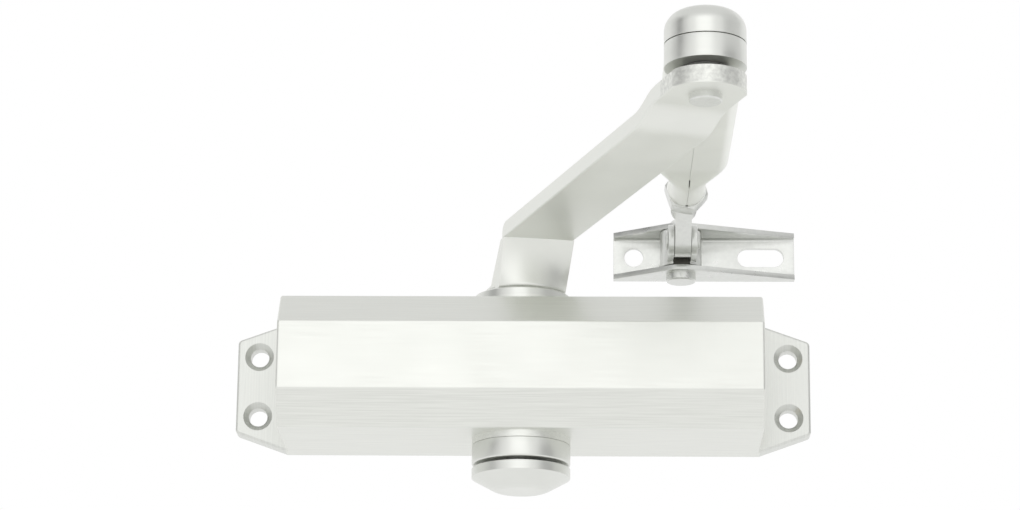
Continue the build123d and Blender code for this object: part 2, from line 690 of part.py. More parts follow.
def arm_screw():
    """Socket-head screw that holds the arm on the square."""
    seat = EYE_TOP + WASHER_THICKNESS
    head_top = seat + ARM_SCREW_HEAD_HEIGHT
    key = RegularPolygon(ARM_SCREW_KEY_ACROSS / 2, 6, major_radius=False)
    socket = Pos(0, 0, head_top - ARM_SCREW_KEY_DEPTH) * extrude(key, ARM_SCREW_KEY_DEPTH)
    head = chamfer(rod(ARM_SCREW_HEAD_R, seat, head_top).edges().group_by(Axis.Z)[-1], RING_EDGE_BREAK)
    return rod(ARM_SCREW_R, seat - ARM_SCREW_LENGTH, seat) + head - socket


def elbow_pin():
    """Pin riveted under the main arm, with a circlip groove near its top."""
    top = CIRCLIP_LOW + CIRCLIP_THICKNESS + PIN_TIP_LENGTH
    head = rod(ELBOW_RIVET_R, ARM_END_LOW - ELBOW_RIVET_HEIGHT, ARM_END_LOW)
    head = chamfer(head.edges().group_by(Axis.Z)[0], RING_EDGE_BREAK)
    return head + rod(ELBOW_PIN_R, ARM_END_LOW, top) - elbow_circlip()


def elbow_circlip():
    inner = ELBOW_PIN_R - CIRCLIP_GROOVE_DEPTH
    return ring(CIRCLIP_R, inner, CIRCLIP_LOW, CIRCLIP_LOW + CIRCLIP_THICKNESS)


def elbow_bush():
    return ring(BUSH_R, ELBOW_PIN_R, ARM_END_TOP, HUB_LOW - BUSH_PLAY)


def elbow_hub():
    """Turned hub of the forearm with a spigot for the dome and a tongue into the forearm."""
    half_height = FOREARM_HEIGHT / 2 - FOREARM_SHEET
    half_width = HUB_TONGUE_WIDTH / 2
    tongue_x = (HUB_R / 2, HUB_R + HUB_TONGUE_LENGTH)
    tongue = FOREARM * block(tongue_x, (-half_width, half_width), (-half_height, half_height))
    solid = rod(HUB_R, HUB_LOW, HUB_TOP) + rod(HUB_SPIGOT_R, HUB_TOP, HUB_TOP + HUB_SPIGOT_HEIGHT)
    solid = ELBOW * solid + tongue
    return solid - ELBOW * rod(ELBOW_PIN_R + RUNNING_GAP, HUB_LOW, HUB_TOP + HUB_SPIGOT_HEIGHT)


def elbow_dome_cap():
    """Hollow dome over the pin's end: upright side, round shoulder, slightly crowned top."""
    side_top = DOME_LOW + DOME_SIDE_HEIGHT
    flat_r = HUB_R - DOME_SHOULDER_R
    bend = DOME_SHOULDER_R * math.sqrt(0.5)
    crown_z = side_top + DOME_SHOULDER_R
    top = crown_z + DOME_CROWN
    side = Polyline((0, DOME_LOW), (HUB_R, DOME_LOW), (HUB_R, side_top))
    shoulder = ThreePointArc((HUB_R, side_top), (flat_r + bend, side_top + bend), (flat_r, crown_z))
    crown = Spline((flat_r, crown_z), (0, top), tangents=((-1, 0), (-1, 0)))
    outline = Plane.XZ * make_face([*side.edges(), shoulder, crown, Line((0, top), (0, DOME_LOW))])
    solid = revolve(outline, Axis.Z)
    return solid - rod(HUB_SPIGOT_R, DOME_LOW, side_top + DOME_SHOULDER_R / 2 - DOME_WALL)


def flat_section(width, height, x):
    """Obround section of the forearm at a distance from the elbow."""
    plane = Plane(origin=(x, 0, 0), x_dir=(0, 1, 0), z_dir=(1, 0, 0))
    return plane * SlotOverall(width, height)


def forearm_form(inset):
    """Outer or inner form of the forearm: flat length, drawn-in shoulders, round end."""
    width, height = FOREARM_WIDTH - 2 * inset, FOREARM_HEIGHT - 2 * inset
    end_d = 2 * (TUBE_R - inset)
    end_width = end_d + SEAM_SPREAD
    solid = extrude(flat_section(width, height, 0), FLAT_LENGTH)
    sections = []
    for step in range(SHOULDER_SECTIONS):
        share = step / (SHOULDER_SECTIONS - 1)
        ease = share * share * (3 - 2 * share)
        x = FLAT_LENGTH + share * SHOULDER_LENGTH
        section = flat_section(width + ease * (end_width - width), height + ease * (end_d - height), x)
        sections.append(section)
    solid += loft(sections)
    return solid + extrude(flat_section(end_width, end_d, FLAT_LENGTH + SHOULDER_LENGTH), TUBE_LENGTH)


def forearm_tube():
    """Rolled sheet forearm with its seam and notch underneath, cut to the hub."""
    solid = forearm_form(0) - forearm_form(FOREARM_SHEET)
    rod_room = TUBE_END - ROD_ENGAGED - ROD_ROOM
    solid -= rod_x(ROD_R + RUNNING_GAP, rod_room, TUBE_END)
    seam = SEAM_WIDTH / 2
    solid -= block((TUBE_END - SEAM_LENGTH, TUBE_END), (-seam, seam), (-TUBE_R, 0))
    notch_end = TUBE_END - NOTCH_FROM_END
    notch = NOTCH_WIDTH / 2
    solid -= block((notch_end - NOTCH_LENGTH, notch_end), (-notch, notch), (-TUBE_R, 0))
    mouth = SEAM_END_WIDTH / 2
    solid -= block((TUBE_END - SEAM_END_LENGTH, TUBE_END), (-mouth, mouth), (-TUBE_R, 0))
    return FOREARM * solid - ELBOW * rod(HUB_R, 0, HUB_TOP + HUB_HEIGHT)


def lock_nut():
    """Hexagon nut against the forearm's round end."""
    left = TUBE_END + NUT_GAP
    right = left + NUT_LENGTH
    corner = NUT_ACROSS / math.sqrt(3)
    blank = chamfer(rod_x(corner, left, right).edges().filter_by(GeomType.CIRCLE), NUT_CHAMFER)
    solid = hexagon_x(NUT_ACROSS, left, right) & blank
    solid = Rot(NUT_TURN_DEG, 0, 0) * solid
    return FOREARM * (solid - rod_x(ROD_R + RUNNING_GAP, left, right))


def adjusting_rod():
    """Threaded rod with a flat eye that drops to the tilt pin."""
    blade_x = (FOREARM_REACH - BLADE_REACH) / math.cos(math.radians(FOREARM_DROP_DEG))
    shank = rod_x(ROD_R, TUBE_END - ROD_ENGAGED, blade_x) + Pos(blade_x, 0, 0) * Sphere(ROD_R)
    eye = Pos(PIN_REACH, PIN_Z) * Circle(ROD_EYE_R)
    end = Pos(BLADE_REACH, BLADE_Z) * Circle(ROD_R - BLADE_ROOT_INSET)
    half = BLADE_THICKNESS / 2
    blade = plate_xz(make_hull([*eye.edges(), *end.edges()]), -half, half)
    blade -= plate_xz(Pos(PIN_REACH, PIN_Z) * Circle(TILT_PIN_R + RUNNING_GAP), -half, half)
    return FOREARM * shank + KNUCKLE * blade


def swivel_knuckle():
    """Barrel on the bracket's rivet with two cheeks for the rod's eye."""
    low = BRACKET_LOW + BRACKET_SHEET + BARREL_PLAY
    high = BRACKET_TOP - BRACKET_SHEET - BARREL_PLAY
    gap = BLADE_THICKNESS / 2 + CHEEK_GAP
    outer = gap + CHEEK_THICKNESS
    cheek = Pos(PIN_REACH, PIN_Z) * Circle(CHEEK_R)
    cheek += Pos(PIN_REACH / 2, PIN_Z) * Rectangle(PIN_REACH, 2 * CHEEK_R)
    solid = rod(BARREL_R, low, high) + plate_xz(cheek, -outer, outer)
    slot_x = (RIVET_R + KNUCKLE_WALL, PIN_REACH + BARREL_R)
    solid -= block(slot_x, (-gap, gap), (low, high))
    solid -= plate_xz(Pos(PIN_REACH, PIN_Z) * Circle(TILT_PIN_R), -outer, outer)
    return solid - rod(RIVET_R + RUNNING_GAP, BRACKET_LOW, BRACKET_TOP)


def tilt_pin():
    """Cross pin through the cheeks and the rod's eye, with two low heads."""
    outer = BLADE_THICKNESS / 2 + CHEEK_GAP + CHEEK_THICKNESS
    place = Pos(PIN_REACH, PIN_Z)
    solid = plate_xz(place * Circle(TILT_PIN_R), -outer, outer)
    for front, back in ((-outer - TILT_PIN_HEAD, -outer), (outer, outer + TILT_PIN_HEAD)):
        solid += plate_xz(place * Circle(TILT_PIN_HEAD_R), front, back)
    return solid


def flange_outline():
    """Flange of the bracket from above: straight edges from both ends to a round nose."""
    left, right = -BRACKET_LEFT, BRACKET_LENGTH - BRACKET_LEFT
    ends = [(left, RIVET_DEPTH), (left, RIVET_DEPTH - FLANGE_END_DEPTH)]
    ends += [(right, RIVET_DEPTH - FLANGE_END_DEPTH), (right, RIVET_DEPTH)]
    base = Polyline(*ends, close=True)
    return make_hull([*base.edges(), *Circle(FLANGE_NOSE_R).edges()])


def frame_bracket():
    """Channel bracket: back plate with a hole and a slot, and two pointed flanges."""
    back = RIVET_DEPTH
    left, right = -BRACKET_LEFT, BRACKET_LENGTH - BRACKET_LEFT
    solid = Pos(0, 0, BRACKET_LOW) * extrude(flange_outline(), BRACKET_HEIGHT)
    inner_z = (BRACKET_LOW + BRACKET_SHEET, BRACKET_TOP - BRACKET_SHEET)
    channel = block((left, right), (-BODY_DEPTH, back - BRACKET_SHEET), inner_z)
    inner_edges = channel.edges().filter_by(Axis.X).group_by(Axis.Y)[-1]
    solid -= fillet(inner_edges, BRACKET_BEND_R)
    outer_edges = solid.edges().filter_by(Axis.X).group_by(Axis.Y)[-1]
    solid = fillet(outer_edges, BRACKET_BEND_R)
    hole_x = left + BRACKET_HOLE_INSET
    holes = Pos(hole_x, BRACKET_CENTRE_Z) * Circle(BRACKET_HOLE_R)
    slot = SlotOverall(BRACKET_SLOT_LENGTH, 2 * BRACKET_HOLE_R)
    holes += Pos(hole_x + BRACKET_HOLE_SPACING, BRACKET_CENTRE_Z) * slot
    solid -= plate_xz(holes, back - BRACKET_SHEET, back)
    return solid - rod(RIVET_R, BRACKET_LOW, BRACKET_TOP)


def bracket_rivet():
    """Rivet with a button head below the bracket and an upset head above."""
    shank = rod(RIVET_R, BRACKET_LOW, BRACKET_TOP)
    head = rod(RIVET_HEAD_R, BRACKET_LOW - RIVET_HEAD_HEIGHT, BRACKET_LOW)
    head = fillet(head.edges().group_by(Axis.Z)[0], RIVET_HEAD_ROUND)
    upset = Pos(0, 0, BRACKET_TOP) * Cone(RIVET_HEAD_R, RIVET_R, RIVET_UPSET_HEIGHT, align=BASE)
    return shank + head + upset


def all_parts():
    """Every piece of the closer, by node name."""
    low_valve, high_valve = valve_places()
    nodes = {
        "body_casting": body_casting(),
        "valve_seals": valve_seals(),
        "upper_collar": SPINDLE * upper_collar(),
        "lower_bearing_ring": SPINDLE * lower_bearing_ring(),
        "upper_bearing": SPINDLE * spindle_bearing(BEARING_LOW),
        "lower_bearing": SPINDLE * spindle_bearing(-BEARING_TOP),
        "upper_shaft_seal": SPINDLE * upper_shaft_seal(),
        "lower_shaft_seal": SPINDLE * lower_shaft_seal(),
        "spring_seat": SPINDLE * spring_seat(),
        "closing_spring": SPINDLE * closing_spring(),
        "closing_speed_valve": low_valve * speed_valve(),
        "latching_speed_valve": high_valve * speed_valve(),
        "pinion_spindle": SPINDLE * pinion_spindle(),
        "spindle_cap": SPINDLE * spindle_cap(),
        "main_arm": ARM * main_arm(),
        "arm_washer": SPINDLE * arm_washer(),
        "arm_screw": SPINDLE * arm_screw(),
        "rack_piston": SPINDLE * rack_piston(),
        "piston_seal": SPINDLE * piston_seal(),
        "check_valve_seat": SPINDLE * check_valve_seat(),
        "check_ball": SPINDLE * check_ball(),
        "elbow_pin": ELBOW * elbow_pin(),
        "elbow_bush": ELBOW * elbow_bush(),
        "elbow_circlip": ELBOW * elbow_circlip(),
        "elbow_hub": elbow_hub(),
        "elbow_dome_cap": ELBOW * elbow_dome_cap(),
        "forearm_tube": forearm_tube(),
        "lock_nut": lock_nut(),
        "adjusting_rod": adjusting_rod(),
        "swivel_knuckle": KNUCKLE * swivel_knuckle(),
        "tilt_pin": KNUCKLE * tilt_pin(),
        "frame_bracket": RIVET * frame_bracket(),
        "bracket_rivet": RIVET * bracket_rivet(),
    }
    nodes.update(left_and_right("end_plug", end_plug()))
    nodes.update(left_and_right("plug_seal", plug_seal()))
    return nodes


os.makedirs("parts", exist_ok=True)
for name, solid in all_parts().items():
    export_step(solid, os.path.join("parts", name + ".step"))
    print(name, round(solid.volume, 1))
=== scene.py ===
# %% [markdown]
# A door closer, dressed for its photograph.
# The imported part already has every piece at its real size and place, so it is loaded as a fixed frame.
# What is left for Blender is the look: the camera, the light, and the silver, zinc and dark finishes.

import json
import math

import bpy
from mathutils import Matrix, Vector

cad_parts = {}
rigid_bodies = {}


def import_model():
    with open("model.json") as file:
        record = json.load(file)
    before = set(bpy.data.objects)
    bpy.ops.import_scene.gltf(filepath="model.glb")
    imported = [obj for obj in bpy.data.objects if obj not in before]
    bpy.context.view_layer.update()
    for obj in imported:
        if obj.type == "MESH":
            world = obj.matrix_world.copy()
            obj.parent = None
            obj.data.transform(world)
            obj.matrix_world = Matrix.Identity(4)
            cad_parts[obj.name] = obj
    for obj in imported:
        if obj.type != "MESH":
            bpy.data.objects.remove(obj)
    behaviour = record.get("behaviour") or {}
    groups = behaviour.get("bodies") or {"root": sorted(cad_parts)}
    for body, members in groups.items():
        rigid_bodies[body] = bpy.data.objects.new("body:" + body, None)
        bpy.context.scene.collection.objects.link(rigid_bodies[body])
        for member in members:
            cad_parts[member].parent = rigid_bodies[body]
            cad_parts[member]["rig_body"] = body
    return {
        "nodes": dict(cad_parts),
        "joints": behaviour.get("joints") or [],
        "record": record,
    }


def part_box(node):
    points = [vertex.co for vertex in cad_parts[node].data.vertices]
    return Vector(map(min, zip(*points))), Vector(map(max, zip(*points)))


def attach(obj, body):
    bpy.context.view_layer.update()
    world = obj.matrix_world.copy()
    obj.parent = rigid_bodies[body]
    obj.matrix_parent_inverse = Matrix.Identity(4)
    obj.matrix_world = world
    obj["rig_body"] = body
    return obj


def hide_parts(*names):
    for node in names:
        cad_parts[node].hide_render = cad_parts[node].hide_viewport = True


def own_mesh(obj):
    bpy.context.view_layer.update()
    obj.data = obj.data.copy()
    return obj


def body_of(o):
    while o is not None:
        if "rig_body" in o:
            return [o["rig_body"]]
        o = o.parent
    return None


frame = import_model()
bpy.ops.object.select_all(action="DESELECT")
nodes = frame["nodes"]
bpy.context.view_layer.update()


def joint_named(name):
    """The frame's joint of that name."""
    return next(joint for joint in frame["joints"] if joint["name"] == name)


# %% [markdown]
# The photograph was taken from in front and below, with a long lens, so that the body's underside shows.
# A camera can be aimed with a Track To constraint, but here its height, tilt and turn were measured from
# the picture, so they are set as three turns one after another: the roll, then the tilt, then the turn.

# %% The camera
MM = 0.001
LENS = 112.9
SENSOR = 36
CAMERA_PLACE = Vector((22.61, -973.26, -240.15)) * MM
TILT_UP = math.radians(16.309)
TURN_LEFT = math.radians(1.603)
ROLL = math.radians(0.586)

bpy.ops.object.camera_add()
camera = bpy.context.object
camera.data.lens = LENS
camera.data.sensor_width = SENSOR
camera.data.sensor_fit = "HORIZONTAL"
turn = Matrix.Rotation(TURN_LEFT, 4, "Z")
tilt = Matrix.Rotation(math.pi / 2 + TILT_UP, 4, "X")
roll = Matrix.Rotation(ROLL, 4, "Z")
camera.matrix_world = Matrix.Translation(CAMERA_PLACE) @ turn @ tilt @ roll
bpy.context.scene.camera = camera
print("camera", round(CAMERA_PLACE.length, 3), "m from the body")

# %% [markdown]
# The closer is cut out on pure white. The world gives that white to what the camera sees, directly or
# in a reflection, and a softer level to everything else, so that pale silver keeps its shades.

# %% The white world
WHITE = 1.0
FILL = 0.7
scene = bpy.context.scene
scene.view_settings.view_transform = "Standard"
world = bpy.data.worlds.new("white studio")
scene.world = world
world.use_nodes = True
sky = world.node_tree
rays = sky.nodes.new("ShaderNodeLightPath")
seen = sky.nodes.new("ShaderNodeMath")
seen.operation = "MAXIMUM"
sky.links.new(rays.outputs["Is Camera Ray"], seen.inputs[0])
sky.links.new(rays.outputs["Is Glossy Ray"], seen.inputs[1])
shown = sky.nodes.new("ShaderNodeMath")
shown.operation = "MAXIMUM"
sky.links.new(seen.outputs["Value"], shown.inputs[0])
sky.links.new(rays.outputs["Is Transmission Ray"], shown.inputs[1])
level = sky.nodes.new("ShaderNodeMapRange")
level.inputs["To Min"].default_value = FILL
level.inputs["To Max"].default_value = WHITE
sky.links.new(shown.outputs["Value"], level.inputs["Value"])
background = sky.nodes["Background"]
background.inputs["Color"].default_value = (1, 1, 1, 1)
sky.links.new(level.outputs["Result"], background.inputs["Strength"])
world.cycles.sampling_method = "NONE"
print("world: white", WHITE, "for the eye,", FILL, "as fill")

# %% [markdown]
# The camera looks up, so the floor has to lie below the camera. It only shows in the other views, where
# it takes the closer's shadow and sends a little light back to the underside.

# %% The floor
FLOOR_Z = -0.30
FLOOR_SIZE = 8.0
PAPER = (0.88, 0.88, 0.87, 1)
PAPER_ROUGHNESS = 0.9
bpy.ops.mesh.primitive_plane_add(size=FLOOR_SIZE, location=(0, 0, FLOOR_Z))
floor = bpy.context.object
floor.name = "pale_floor"
bpy.ops.object.transform_apply(location=True, rotation=True, scale=True)
paper = bpy.data.materials.new("pale paper")
paper.use_nodes = True
sheet = paper.node_tree
matt = sheet.nodes["Principled BSDF"]
matt.inputs["Base Color"].default_value = PAPER
matt.inputs["Roughness"].default_value = PAPER_ROUGHNESS
glow = sheet.nodes.new("ShaderNodeEmission")
rays = sheet.nodes.new("ShaderNodeLightPath")
mirrored = sheet.nodes.new("ShaderNodeMixShader")
sheet.links.new(rays.outputs["Is Glossy Ray"], mirrored.inputs["Fac"])
sheet.links.new(matt.outputs["BSDF"], mirrored.inputs[1])
sheet.links.new(glow.outputs["Emission"], mirrored.inputs[2])
sheet.links.new(mirrored.outputs["Shader"], sheet.nodes["Material Output"].inputs["Surface"])
paper.cycles.emission_sampling = "NONE"
floor.data.materials.append(paper)
print("floor at", FLOOR_Z, "m")

# %% [markdown]
# One big soft lamp stands in for the studio's light box: in front and above the lens, where it brightens
# the front face. A sun or a point lamp would draw hard shadows that the picture doesn't have.

# %% The lamp
AIM = Vector((20, -60, 20)) * MM
LAMP_PLACE = Vector((-0.1, -2.6, 0.75))
LAMP_SIZE = 2.0
LAMP_POWER = 5.3
bpy.ops.object.light_add(type="AREA", location=LAMP_PLACE)
lamp = bpy.context.object
lamp.name = "front light box"
lamp.data.shape = "SQUARE"
lamp.data.size = LAMP_SIZE
lamp.data.energy = LAMP_POWER
lamp.rotation_euler = (AIM - LAMP_PLACE).to_track_quat("-Z", "Y").to_euler()
print(lamp.name, LAMP_POWER, "W")

# %% [markdown]
# In an all-white studio, bright metal has nothing dark to mirror and looks like paper. A photographer
# stands grey cards beside and above it, out of the picture. These are seen by mirror rays alone: they
# take no light away and cast no shadow.

# %% The grey cards
# Each card's grey level, its place, and its width and height, in metres
GREY_CARDS = {
    "left card": (0.72, (-1.2, -0.35, 0.45), (1.3, 1.5)),
    "left strip": (0.16, (-1.1, -0.42, 0.55), (0.36, 0.7)),
    "right card": (0.72, (1.2, -0.25, 0.45), (1.4, 1.5)),
    "right strip": (0.38, (0.97, -0.52, 0.05), (0.75, 0.55)),
    "ceiling card": (0.84, (0.0, -0.2, 1.6), (2.6, 2.6)),
}


def grey_card(name, grey_level, place, size):
    """Stand a grey card at a place, turned to the closer, for reflections only."""
    bpy.ops.mesh.primitive_plane_add(size=1, location=place)
    card = bpy.context.object
    card.name = name.replace(" ", "_")
    card.scale = (*size, 1)
    card.rotation_euler = (AIM - Vector(place)).to_track_quat("Z", "Y").to_euler()
    grey = bpy.data.materials.new(name)
    grey.use_nodes = True
    glow = grey.node_tree.nodes.new("ShaderNodeEmission")
    glow.inputs["Color"].default_value = (grey_level, grey_level, grey_level, 1)
    target = grey.node_tree.nodes["Material Output"].inputs["Surface"]
    grey.node_tree.links.new(glow.outputs["Emission"], target)
    grey.cycles.emission_sampling = "NONE"
    card.data.materials.append(grey)
    card.visible_camera = False
    card.visible_diffuse = False
    card.visible_transmission = False
    card.visible_shadow = False


for name, (grey_level, place, size) in GREY_CARDS.items():
    grey_card(name, grey_level, place, size)
print("grey cards", list(GREY_CARDS))

# %% [markdown]
# Every finish starts in the same way: a Principled shader holding the plain numbers, and Object
# coordinates, which for these pieces are metres in the part's own frame. Small helpers keep the node
# trees short: one adds a node with its inputs set or joined, and the others do sums and mix colours.

# %% Helpers for the finishes
FINISHES = {}
MIX_FIRST, MIX_SECOND, MIX_RESULT = 6, 7, 2


def axis_through(name):
    """X and Y of the upright axis through the middle of a piece."""
    low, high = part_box(name)
    return (low.x + high.x) / 2, (low.y + high.y) / 2


def new_finish(name, colour, metallic, roughness):
    """Start a finish and return its node tree, its shader and its Object coordinates."""
    finish = bpy.data.materials.new(name)
    finish.use_nodes = True
    tree = finish.node_tree
    shader = tree.nodes["Principled BSDF"]
    shader.inputs["Base Color"].default_value = (*colour, 1)
    shader.inputs["Metallic"].default_value = metallic
    shader.inputs["Roughness"].default_value = roughness
    coordinates = tree.nodes.new("ShaderNodeTexCoord")
    FINISHES[name] = finish
    return tree, shader, coordinates.outputs["Object"]


def put(tree, kind, inputs, output=0):
    """Add a node, set or join its inputs, and return one of its outputs."""
    made = tree.nodes.new(kind)
    for name, value in inputs.items():
        if isinstance(value, bpy.types.NodeSocket):
            tree.links.new(value, made.inputs[name])
        else:
            made.inputs[name].default_value = value
    return made.outputs[output]


def sum_of(tree, operation, first, second=0.0):
    """Add a Math node and return its value."""
    value = put(tree, "ShaderNodeMath", {0: first, 1: second})
    value.node.operation = operation
    return value


def blend(tree, mask, first, second):
    """Take the first colour where a mask is 0 and the second where it is 1."""
    inputs = {"Factor": mask, MIX_FIRST: first, MIX_SECOND: second}
    colour = put(tree, "ShaderNodeMix", inputs, MIX_RESULT)
    colour.node.data_type = "RGBA"
    return colour


def split(tree, coordinates):
    """The X, Y and Z of coordinates, by name."""
    return put(tree, "ShaderNodeSeparateXYZ", {"Vector": coordinates}).node.outputs


print("helpers ready")

# %% [markdown]
# Three patterns carry most of the work. Grain is the fine sparkle of metallic paint or zinc, stretched
# noise makes the long scratches of brushing, and a slow cloud keeps large faces from being one flat tone.

# %% Patterns
NOISE_LOW, NOISE_HIGH = 0.3, 0.7


def grain(tree, coordinates, per_metre, detail=2.0):
    """Noise of about that many spots to the metre."""
    return put(tree, "ShaderNodeTexNoise", {"Vector": coordinates, "Scale": per_metre, "Detail": detail})


def brushed(tree, coordinates, stretch, detail=3.0):
    """Noise drawn out into lines: a small number in stretch is the direction the lines run."""
    drawn = put(tree, "ShaderNodeMapping", {"Vector": coordinates, "Scale": stretch})
    return put(tree, "ShaderNodeTexNoise", {"Vector": drawn, "Scale": 1.0, "Detail": detail})


def spread(tree, value, low, high):
    """Move the usual reach of a noise pattern onto low to high."""
    limits = {"Value": value, "From Min": NOISE_LOW, "From Max": NOISE_HIGH, "To Min": low, "To Max": high}
    return put(tree, "ShaderNodeMapRange", limits)


def tint(tree, pattern, dark, light):
    """Turn a pattern into a colour between two shades."""
    ramp = tree.nodes.new("ShaderNodeValToRGB")
    tree.links.new(spread(tree, pattern, 0, 1), ramp.inputs["Fac"])
    ramp.color_ramp.elements[0].color = (*dark, 1)
    ramp.color_ramp.elements[1].color = (*light, 1)
    return ramp.outputs["Color"]


def raise_bump(tree, shader, height, depth):
    """Let a pattern tilt the surface by a depth in metres."""
    bump = put(tree, "ShaderNodeBump", {"Height": height, "Distance": depth, "Strength": 1.0})
    tree.links.new(bump, shader.inputs["Normal"])


print("patterns ready")

# %% [markdown]
# The body is cast aluminium under silver paint. The front face was ground smooth, the lower half's long
# faces still show the fine lines of the belt, fainter on the upper half, and the ears were milled, so their
# lines run upright. Masks made from the coordinates say which face is which, and noise is stretched for each.

# %% Cast silver for the body
EAR_START = 73.4 * MM
FRONT_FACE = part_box("body_casting")[0].y + 0.2 * MM
BELT_LINES = (55, 2300, 2300)
MILL_LINES = (1900, 60, 60)
SMOOTH_SHADES = ((0.775, 0.785, 0.745), (0.81, 0.82, 0.78))
FAINT_SHADES = ((0.785, 0.795, 0.755), (0.825, 0.835, 0.795))
STRONG_SHADES = ((0.735, 0.745, 0.705), (0.825, 0.835, 0.795))
MILLED_SHADES = ((0.66, 0.67, 0.64), (0.75, 0.76, 0.725))
SMOOTH_GAIN, FAINT_GAIN, BELT_GAIN = 0.10, 0.35, 1.0
SPARKLE_GAIN = 0.2
CAST_RELIEF = 0.008 * MM
PAINT = Vector((0.79, 0.80, 0.76))
PAINT_METALLIC = 0.85

tree, shader, here = new_finish("cast_silver", PAINT, PAINT_METALLIC, 0.36)
parts = split(tree, here)
on_ear = sum_of(tree, "GREATER_THAN", sum_of(tree, "ABSOLUTE", parts["X"]), EAR_START)
lined = sum_of(tree, "GREATER_THAN", parts["Y"], FRONT_FACE)
low_half = sum_of(tree, "LESS_THAN", parts["Z"], 0)
along = brushed(tree, here, BELT_LINES)
across = brushed(tree, here, MILL_LINES)
lines = put(tree, "ShaderNodeMapRange", {"Value": on_ear, "To Min": along, "To Max": across})
cloud = grain(tree, here, 45)
sparkle = grain(tree, here, 5200, 1.0)

smooth = tint(tree, cloud, *SMOOTH_SHADES)
scratched = blend(tree, low_half, tint(tree, lines, *FAINT_SHADES), tint(tree, lines, *STRONG_SHADES))
painted = blend(tree, lined, smooth, scratched)
shade = blend(tree, on_ear, painted, tint(tree, lines, *MILLED_SHADES))
tree.links.new(shade, shader.inputs["Base Color"])
tree.links.new(spread(tree, lines, 0.32, 0.42), shader.inputs["Roughness"])

belt = put(tree, "ShaderNodeMapRange", {"Value": low_half, "To Min": FAINT_GAIN, "To Max": BELT_GAIN})
gain = put(tree, "ShaderNodeMapRange", {"Value": lined, "To Min": SMOOTH_GAIN, "To Max": belt})
grooves = sum_of(tree, "MULTIPLY", lines, gain)
relief = sum_of(tree, "ADD", grooves, sum_of(tree, "MULTIPLY", sparkle, SPARKLE_GAIN))
raise_bump(tree, shader, relief, CAST_RELIEF)
print("cast silver")

# %% [markdown]
# Arm and forearm are formed steel under the same silver paint, with a finer, calmer surface. The forearm
# gets a lighter copy of that paint: painted light. The arm's round end kept its rough forging skin,
# so a mask by the distance from the elbow's axis gives that rim coarse, uneven spots.

# %% Arm silver and tube silver
ELBOW_AXIS = axis_through("elbow_dome_cap")
RIM_FROM = 10.2 * MM
RIM_TO = RIM_FROM + 2.0 * MM
RIM_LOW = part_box("main_arm")[1].z - 4.7 * MM
CALM_DARK, CALM_LIGHT = 0.98, 1.025
SKIN_DARK, SKIN_LIGHT = 0.80, 1.06
SKIN_GAIN = 8.0
PAINT_RELIEF = 0.004 * MM


def distance_from_axis(tree, coordinates, axis):
    """How far a point is from an upright axis."""
    centred = put(tree, "ShaderNodeMapping", {"Vector": coordinates, "Location": (-axis[0], -axis[1], 0)})
    flat = put(tree, "ShaderNodeVectorMath", {0: centred, 1: (1, 1, 0)})
    flat.node.operation = "MULTIPLY"
    radius = put(tree, "ShaderNodeVectorMath", {0: flat}, 1)
    radius.node.operation = "LENGTH"
    return radius


def painted_finish(name, level):
    """Silver paint over formed steel, lighter or darker by a level."""
    paint = PAINT * level
    tree, shader, here = new_finish(name, paint, PAINT_METALLIC, 0.38)
    cloud = grain(tree, here, 60)
    sparkle = grain(tree, here, 4200, 1.0)
    spots = grain(tree, here, 900, 3.0)
    radius = distance_from_axis(tree, here, ELBOW_AXIS)
    past_eye = sum_of(tree, "GREATER_THAN", radius, RIM_FROM)
    ring = sum_of(tree, "MULTIPLY", past_eye, sum_of(tree, "LESS_THAN", radius, RIM_TO))
    upper = sum_of(tree, "GREATER_THAN", split(tree, here)["Z"], RIM_LOW)
    on_rim = sum_of(tree, "MULTIPLY", ring, upper)
    smooth = tint(tree, cloud, paint * CALM_DARK, paint * CALM_LIGHT)
    rough = tint(tree, spots, paint * SKIN_DARK, paint * SKIN_LIGHT)
    tree.links.new(blend(tree, on_rim, smooth, rough), shader.inputs["Base Color"])
    tree.links.new(spread(tree, cloud, 0.34, 0.44), shader.inputs["Roughness"])
    skin = sum_of(tree, "MULTIPLY", sum_of(tree, "MULTIPLY", spread(tree, spots, 0, 1), on_rim), SKIN_GAIN)
    raise_bump(tree, shader, sum_of(tree, "ADD", sparkle, skin), PAINT_RELIEF)


painted_finish("arm_silver", 1.03)
# Painted light: the forearm's copy of the paint is lighter by its level
painted_finish("tube_silver", 1.09)
print("arm silver and tube silver")

# %% [markdown]
# Turned pieces keep the marks of the lathe: rings around their axis. The distance from the axis and the
# height both drive the pattern, so the rings show on flat faces and on sides alike.

# %% Turned silver around the two upright axes
SPINDLE_AXIS = axis_through("spindle_cap")
TURNED = Vector((0.77, 0.78, 0.745))
TURNED_DARK = 0.95
TURNED_ROUGHNESS, LATHE_CHANGE = 0.34, 0.06
LATHE_LINES = (3000, 1, 3000)
LATHE_RELIEF = 0.001 * MM


def turned_finish(name, axis):
    """A lathe-turned finish with rings around an upright axis."""
    tree, shader, here = new_finish(name, TURNED, 0.9, TURNED_ROUGHNESS)
    radius = distance_from_axis(tree, here, axis)
    rings = put(tree, "ShaderNodeCombineXYZ", {"X": radius, "Z": split(tree, here)["Z"]})
    lathe = brushed(tree, rings, LATHE_LINES, 2.0)
    shade = tint(tree, grain(tree, here, 90), TURNED * TURNED_DARK, TURNED)
    rough = spread(tree, lathe, TURNED_ROUGHNESS - LATHE_CHANGE, TURNED_ROUGHNESS + LATHE_CHANGE)
    tree.links.new(shade, shader.inputs["Base Color"])
    tree.links.new(rough, shader.inputs["Roughness"])
    raise_bump(tree, shader, lathe, LATHE_RELIEF)


turned_finish("turned_silver", SPINDLE_AXIS)
turned_finish("turned_silver_elbow", ELBOW_AXIS)
print("turned silver around", SPINDLE_AXIS, "and", [round(c, 4) for c in ELBOW_AXIS])
